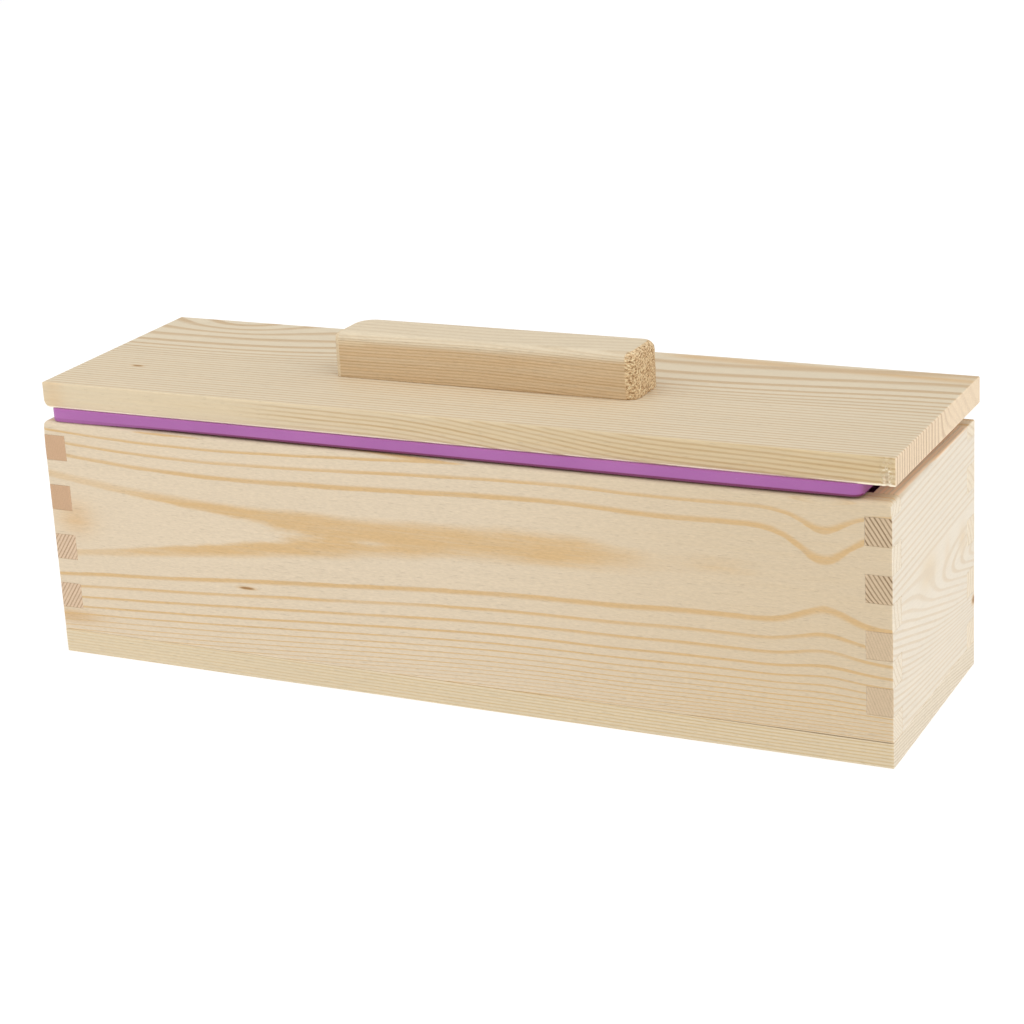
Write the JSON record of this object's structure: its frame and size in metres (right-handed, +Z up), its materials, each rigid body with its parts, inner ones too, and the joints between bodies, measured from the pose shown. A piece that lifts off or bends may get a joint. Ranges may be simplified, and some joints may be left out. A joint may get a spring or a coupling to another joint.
{
  "type": "soap loaf mould",
  "caption": "Finger-jointed pine loaf box with a loose flanged silicone liner and a lift-off pine lid with a bar handle, for pouring and setting soap.",
  "frame": {"origin": "centre of the box's underside, on the surface it stands on", "axes": "+X along the box's length towards the right-hand end seen from the front, +Y towards the back, +Z up"},
  "size_m": [0.2857, 0.0847, 0.1075],
  "materials": {
    "pine_long_boards": "satin",
    "pine_end_boards": "satin",
    "pine_bottom": "satin",
    "pine_lid": "satin",
    "pine_handle": "satin",
    "silicone": "satin",
    "steel_nails": "satin",
    "plated_screws": "satin"
  },
  "bodies": {
    "box": {"front_board": "pine_long_boards", "back_board": "pine_long_boards", "left_end_board": "pine_end_boards", "right_end_board": "pine_end_boards", "bottom_board": "pine_bottom", "bottom_nails": "steel_nails"},
    "liner": {"liner": "silicone"},
    "lid": {"lid_board": "pine_lid", "lid_handle": "pine_handle", "handle_screws": "plated_screws"}
  },
  "joints": [
    {"name": "liner_lift", "type": "slide", "parent": "box", "child": "liner", "axis": [0, 0, 1], "range_m": [0, 0.09]},
    {"name": "lid_lift", "type": "slide", "parent": "liner", "child": "lid", "axis": [0, 0, 1], "range_m": [0, 0.06]}
  ]
}
